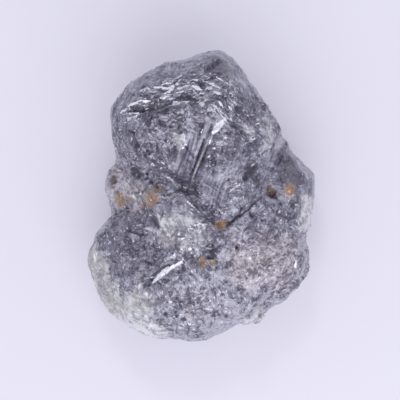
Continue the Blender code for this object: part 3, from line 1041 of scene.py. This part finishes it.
class SkinBoard(Board):
    """The board of the stone's material: its coordinates, its regions and its patterns.

    Sizes are in millimetres. A pattern is stretched along X, Y and Z by one over its three numbers.
    """

    broad_size: float = 0.6
    fine_size: float = 0.16
    grain_size: float = 0.45
    speck_size: float = 0.11
    layer_size: float = 0.075
    layer_stretch: tuple = (1.0, 0.2, 0.34)
    plank_size: float = 0.13
    plank_stretch: tuple = (1.0, 0.07, 0.07)
    plank_turn: float = 17.5        # in degrees: along the wedge's furrows
    flake_scale: tuple = (1.9, 20)  # along the ridge and across it

    def __init__(self, material: bpy.types.Material) -> None:
        """Opens the board, and lays out what every pattern starts from.

        Args:
            material: the stone's material.
        """
        super().__init__(material, "Principled BSDF")
        spot = self.node("ShaderNodeTexCoord", {}, {})[3]
        self.place = self.vector("SCALE", spot, 1 / MILLIMETRE)
        self.masks = {region: self.attribute(region) for region in Region}
        self.broad = self.noise(self.place, self.broad_size, 3.0)
        self.fine = self.noise(self.place, self.fine_size, 3.0, 0.6)
        self.bent = self.vector("ADD", self.place, self.sway(0.3, 0.2))
        self.grain = self.cells(self.bent, self.grain_size)
        self.speck = self.cells(self.bent, self.speck_size)
        self.cleavage = self.layers()

    def attribute(self, region: Region) -> Value:
        """How much of a region the skin holds at a point."""
        return self.node("ShaderNodeAttribute", {"attribute_name": region.value}, {})[2]

    def sway(self, size: float, reach: float) -> Value:
        """A wandering shift of the coordinates, so that no pattern runs straight.

        Args:
            size: how far apart the bends are, in millimetres.
            reach: how far the pattern is shifted, in millimetres.

        Returns:
            The shift, as a vector.
        """
        inputs = {"Vector": self.place, "Scale": 1 / size, "Detail": 1.0}
        cloud = self.node("ShaderNodeTexNoise", {}, inputs)[1]
        return self.vector("SCALE", self.centred(cloud), 2 * reach)

    def centred(self, colour: Value) -> Value:
        """A random colour as a vector, the same either way of 0."""
        return self.vector("SUBTRACT", colour, (0.5, 0.5, 0.5))

    def layers(self) -> Value:
        """The thin layers that each crystal grain is built of, turned another way in every grain.

        Returns:
            A number, mostly from 0.2 to 0.8.
        """
        inputs = {"Vector": self.place, "Rotation": self.vector("SCALE", self.grain, math.tau)}
        turned = self.node("ShaderNodeVectorRotate", {"rotation_type": "EULER_XYZ"}, inputs)[0]
        return self.noise(self.vector("MULTIPLY", turned, self.layer_stretch), self.layer_size, 3.0, 0.6)

    def planks(self) -> Value:
        """Straight bands, light and dark by turns, that run down the wedge.

        Returns:
            A number, mostly from 0.2 to 0.8.
        """
        inputs = {"Vector": self.place, "Angle": math.radians(self.plank_turn)}
        turned = self.node("ShaderNodeVectorRotate", {"rotation_type": "Z_AXIS"}, inputs)[0]
        return self.noise(self.vector("MULTIPLY", turned, self.plank_stretch), self.plank_size, 3.0, 0.6)

    def ledges(self) -> tuple[Value, Value]:
        """The painted light and shade of the thin flakes along the ridge.

        Returns:
            Where a painted glint shows on a flake's edge, and where painted shade shows in the gap below
            one.
        """
        along, across = self.flake_scale
        x, z = (self.part(self.place, axis) * along for axis in (0, 2))
        sheet = self.node("ShaderNodeCombineXYZ", {}, {0: x, 1: self.masks[ACROSS] * across, 2: z})[0]
        lower = self.vector("ADD", sheet, (0.0, 0.9, 0.0))
        cloud, shade = (self.noise(sheets, 1.0, 4.0, 0.7) for sheets in (sheet, lower))
        here = self.masks[LEDGE] * self.between(self.noise(self.place, 0.6, 1.0), 0.38, 0.6)
        # painted glints on the flake edges
        bright = self.between(cloud, 0.54, 0.6) * self.between(here, 0.15, 0.6)
        # painted shade in the gap below each flake
        return bright, self.between(shade, 0.54, 0.62) * self.masks[LEDGE]

    def threads(self, place: Value, size: float, width: float) -> Value:
        """Thin lines that wander over the skin, such as cracks and the edges of flakes.

        Args:
            place: the coordinates, in millimetres.
            size: how far apart they are, in millimetres.
            width: how wide they are, as a share of that.

        Returns:
            1 on the lines, 0 away from them.
        """
        return 1 - self.between(self.maths("ABSOLUTE", self.noise(place, size, 2.0) - 0.5), 0.0, width)

    def ragged(self, region: Region, low: float, high: float) -> Value:
        """How much of a region shows, with a ragged edge.

        Args:
            region: the region.
            low: the amount at which it starts to show.
            high: the amount at which it shows in full.

        Returns:
            A number from 0 to 1.
        """
        edge = (self.fine - 0.5) * 1.1 + (self.broad - 0.5) * 0.8
        return self.between(self.masks[region] + edge * self.masks[region], low, high)


# --- The stone's finish ---


@dataclass(frozen=True)
class StoneFinish:
    """The stone's skin: violet grey with a half-metallic lustre, and what is grown in or on it."""

    shadow: Colour = (0.052, 0.048, 0.076)
    grey: Colour = (0.188, 0.179, 0.24)
    light: Colour = (0.43, 0.42, 0.495)
    veil: Colour = (0.34, 0.335, 0.39)
    milky: Colour = (0.68, 0.675, 0.70)
    greenish: Colour = (0.40, 0.40, 0.375)
    cream: Colour = (0.56, 0.51, 0.54)
    fawn: Colour = (0.20, 0.165, 0.18)
    ochre: Colour = (0.37, 0.29, 0.21)
    rust: Colour = (0.31, 0.15, 0.06)
    amber: Colour = (0.52, 0.32, 0.15)
    umber: Colour = (0.085, 0.052, 0.045)
    # near black: painted shade, and dark specks and patches
    shade_and_dark_spots: Colour = (0.032, 0.028, 0.046)
    # the white of the painted glints and sparkles
    flake: Colour = (0.88, 0.88, 0.96)
    metal: float = 0.22
    gloss: float = 0.44
    coat: float = 0.2
    coat_gloss: float = 0.18
    lean: float = 0.13
    small_lean: float = 0.16
    bump_depth: float = 0.028       # in millimetres

    def material(self) -> bpy.types.Material:
        """The stone's material.

        Returns:
            The material, with its nodes.
        """
        material = bpy.data.materials.new("rough diamond skin")
        board = SkinBoard(material)
        masks, fine, cleavage = board.masks, board.fine, board.cleavage
        rough_skin = 1 - (masks[SHELL] * 0.4 + masks[STRIPE] * 0.75).clamped()
        tiny = board.part(board.speck, 0)
        # painted glints on the flake edges, and painted shade in the gaps below the ledges
        bright, gap = board.ledges()
        shards = (tiny - 0.5) * 0.5 + (cleavage - 0.5) * 0.5 - gap * 0.5
        glint = board.maths("MAXIMUM", board.between(masks[GLINT] + shards, 0.5, 0.6), bright)
        # scattered painted glints, in clusters
        clusters = board.between(board.noise(board.place, 0.7, 2.0), 0.36, 0.56)
        sparkle = board.between(cleavage + (fine - 0.5) * 0.5, 0.62, 0.7) * rough_skin * clusters * 0.8
        # the painted shade of the ledge gaps joins the dark region
        masks[DARK] = board.maths("MAXIMUM", gap, masks[DARK])
        soft = (masks[MILKY] * 0.8 + masks[CREAM] * 0.6 + masks[RUST]).clamped()
        tone = self.tone(board, tiny, rough_skin)
        board.dress({
            "Base Color": self.colour(board, tone, board.maths("MAXIMUM", glint, sparkle)),
            "Metallic": (self.metal - self.metal * soft).clamped(),
            "Roughness": (self.gloss + (fine - 0.5) * 0.3 + 0.12 * soft - 0.18 * glint).clamped(),
            "Normal": self.relief(board, rough_skin * (0.7 + masks[COARSE] * 0.8)),
            "Coat Weight": self.coat,
            "Coat Roughness": self.coat_gloss,
        })
        return material

    @staticmethod
    def tone(board: SkinBoard, tiny: Value, rough_skin: Value) -> Value:
        """How light the grey is: clouds, grains and layers, then what each region adds, with painted light
        on the steep low flanks, then threads.

        Args:
            board: the board to work on.
            tiny: a random number for each small grain.
            rough_skin: 1 where the grain shows in full.

        Returns:
            A number, mostly from 0.1 to 0.9.
        """
        masks, cleavage = board.masks, board.cleavage
        own = board.part(board.grain, 0)
        speckled = (board.fine - 0.5) * (0.9 + 0.4 * masks[PALE]) + (own - 0.5) * 0.3 + (tiny - 0.5) * 0.15
        shifted = board.vector("ADD", board.bent, (7.0, 3.0, 5.0))
        return (
            0.5
            + (board.broad - 0.5) * 1.1
            + speckled * rough_skin
            + (cleavage - 0.5) * (1.65 - 0.85 * masks[CREAM]) * rough_skin
            - board.between(cleavage, 0.41, 0.31) * 0.32 * rough_skin
            # painted light on the steep low flanks
            + masks[THIN] * 0.38
            + masks[PALE] * 0.17
            - masks[COARSE] * 0.07
            - masks[STRIPE] * 0.08
            + (board.planks() - 0.47) * 2.6 * masks[STRIPE]
            + board.threads(board.bent, 0.42, 0.03) * own * 0.5 * rough_skin
            - board.threads(shifted, 0.5, 0.025) * 0.4 * rough_skin
        )

    def colour(self, board: SkinBoard, tone: Value, flake: Value) -> Value:
        """The colour of the skin, laid on from the grey up to the painted glints on the flakes.

        Args:
            board: the board to work on.
            tone: how light the grey is.
            flake: where painted glints show, on a flake's bare edge or as a scattered sparkle.

        Returns:
            The colour.
        """
        place, masks, fine, broad = board.place, board.masks, board.fine, board.broad
        speckle = board.part(board.speck, 1)
        colour = board.ramp(((0.1, self.shadow), (0.48, self.grey), (0.9, self.light)), tone)
        veil = board.between(board.noise(place, 0.4, 4.0, 0.65), 0.45, 0.7)
        colour = board.mix(veil * masks[SHELL] * 0.6, colour, self.veil)
        # milky
        tint = board.noise(place, 0.7, 4.0, 0.6) + masks[GREEN] * 0.14
        pale = board.mix(board.between(tint, 0.46, 0.7), self.milky, self.greenish)
        pale = board.mix(board.between(tone, 0.1, 0.6) * 0.65 + 0.35, self.grey, pale)
        clouds = masks[MILKY] * (1 + (broad - 0.5) * 1.2 + (fine - 0.5) * 0.6)
        colour = board.mix(board.between(clouds, 0.1, 0.75) * 0.88, colour, pale)
        # cream
        warm = board.mix(board.between(tone + (speckle - 0.5) * 0.5, 0.2, 0.85), self.fawn, self.cream)
        colour = board.mix(board.ragged(CREAM, 0.2, 0.9) * (0.45 + speckle * 0.35), colour, warm)
        # painted shade and dark specks, the stain round the rust, and brown hollows
        colour = board.mix(board.ragged(DARK, 0.2, 0.7) * 0.8, colour, self.shade_and_dark_spots)
        colour = board.mix(board.ragged(RUST, 0.05, 0.4) * 0.45, colour, self.ochre)
        colour = board.mix(board.ragged(BROWN, 0.1, 0.9) * 0.9, colour, self.umber)
        # rust, from umber where it is thin to amber where it is thick
        heat = board.noise(place, 0.16, 4.0, 0.65) * 0.8 + masks[RUST] * 0.15
        stain = board.mix(board.between(heat, 0.4, 0.54), self.umber, self.rust)
        stain = board.mix(board.between(heat, 0.58, 0.72), stain, self.amber)
        stained = masks[RUST] * (0.75 + (fine - 0.5) * 2.8 + (speckle - 0.5) * 0.6)
        colour = board.mix(board.between(stained, 0.15, 0.8) * 0.9, colour, stain)
        # painted glints on bare flakes, and painted sparkles
        return board.mix(flake, colour, board.mix(board.between(fine, 0.25, 0.45), self.light, self.flake))

    def relief(self, board: SkinBoard, share: Value) -> Value:
        """The way the skin faces: each crystal grain leans its own way, under a fine roughness.

        Args:
            board: the board to work on.
            share: how much of the lean there is at a point.

        Returns:
            The normal.
        """
        normal = board.node("ShaderNodeNewGeometry", {}, {})[1]
        for cell, lean in ((board.grain, self.lean), (board.speck, self.small_lean)):
            turn = board.vector("SCALE", board.centred(cell), lean * 2 * share)
            normal = board.vector("ADD", normal, turn)
        inputs = {
            "Strength": 1.0,
            "Distance": self.bump_depth * MILLIMETRE,
            "Height": board.noise(board.place, 0.06, 3.0) * 0.5 + board.cleavage * share,
            "Normal": board.vector("NORMALIZE", normal),
        }
        return board.node("ShaderNodeBump", {}, inputs)[0]


# --- The studio ---


@dataclass(frozen=True)
class Lamp:
    """A soft square lamp that shines on the stone: where it stands, in metres, its size and its power."""

    name: str
    place: tuple[float, float, float]
    size: float
    power: float


@dataclass
class Studio:
    """The plain pale floor, the lights and the camera. Sizes are in metres."""

    floor_size: float = 3.0
    floor_colour: Colour = (0.57, 0.56, 0.63)
    floor_glow: float = 0.325
    lamps: tuple[Lamp, ...] = (
        Lamp("key", (0.008, -0.055, 0.066), 0.09, 0.040),
        Lamp("back", (-0.02, 0.10, 0.14), 0.03, 0.027),
    )
    sky: Stops = (
        (0.0, (0.608, 0.6, 0.71)),      # level with the floor's edge, whose tone it has
        (0.12, (0.85, 0.85, 0.93)),
        (0.35, (0.85, 0.85, 0.93)),
        (0.75, (0.72, 0.72, 0.79)),
        (1.0, (0.5, 0.5, 0.56)),        # overhead
    )
    camera_place: tuple[float, float, float] = (-0.00002, -0.000164, 0.160)
    nearest_seen: float = 0.01
    lens: float = 344.9                 # in millimetres, as is the sensor
    sensor: float = 36.0

    def build(self) -> None:
        """Sets up the floor, the surrounding light, the lamps and the camera."""
        self.lay_floor()
        self.light_room()
        for lamp in self.lamps:
            self.hang(lamp)
        self.set_camera()
        bpy.context.scene.view_settings.view_transform = "Standard"

    def lay_floor(self) -> None:
        """Lays the floor."""
        bpy.ops.object.select_all(action="DESELECT")
        bpy.ops.mesh.primitive_plane_add(size=self.floor_size, location=(0, 0, 0))
        floor = bpy.context.active_object
        floor.name = "floor"
        material = bpy.data.materials.new("pale card")
        Board(material, "Principled BSDF").dress({
            "Base Color": (*self.floor_colour, 1.0),
            "Emission Color": (*self.floor_colour, 1.0),
            "Emission Strength": self.floor_glow,
            "Roughness": 0.9,
            "Specular IOR Level": 0.1,
        })
        floor.data.materials.append(material)

    def light_room(self) -> None:
        """Surrounds the stone with light that is bright at the horizon and dim overhead."""
        world = bpy.data.worlds.new("room")
        bpy.context.scene.world = world
        board = Board(world, "Background")
        direction = board.node("ShaderNodeTexCoord", {}, {})[0]
        board.dress({"Color": board.ramp(self.sky, board.part(direction, 2)), "Strength": 1.0})

    @staticmethod
    def hang(lamp: Lamp) -> None:
        """Hangs a lamp and points it at the stone.

        Args:
            lamp: the lamp.
        """
        light = bpy.data.lights.new(lamp.name, "AREA")
        light.size = lamp.size
        light.energy = lamp.power
        holder = bpy.data.objects.new(lamp.name, light)
        bpy.context.scene.collection.objects.link(holder)
        holder.location = lamp.place
        holder.rotation_euler = (-Vector(lamp.place)).to_track_quat("-Z", "Y").to_euler()

    def set_camera(self) -> None:
        """Sets the camera above the stone, looking straight down."""
        camera = bpy.data.cameras.new("camera")
        camera.lens = self.lens
        camera.sensor_width = self.sensor
        camera.clip_start = self.nearest_seen
        holder = bpy.data.objects.new("camera", camera)
        bpy.context.scene.collection.objects.link(holder)
        holder.location = self.camera_place
        bpy.context.scene.camera = holder


def main() -> None:
    """Builds the stone and the studio."""
    logging.basicConfig(level=logging.INFO, format="%(message)s")
    stone = RoughDiamond().build()
    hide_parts(NODE)
    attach(stone, BODY)
    log.info("%s: %d points, stands for %s", stone.name, len(stone.data.vertices), NODE)
    Studio().build()


if __name__ == "__main__":
    main()
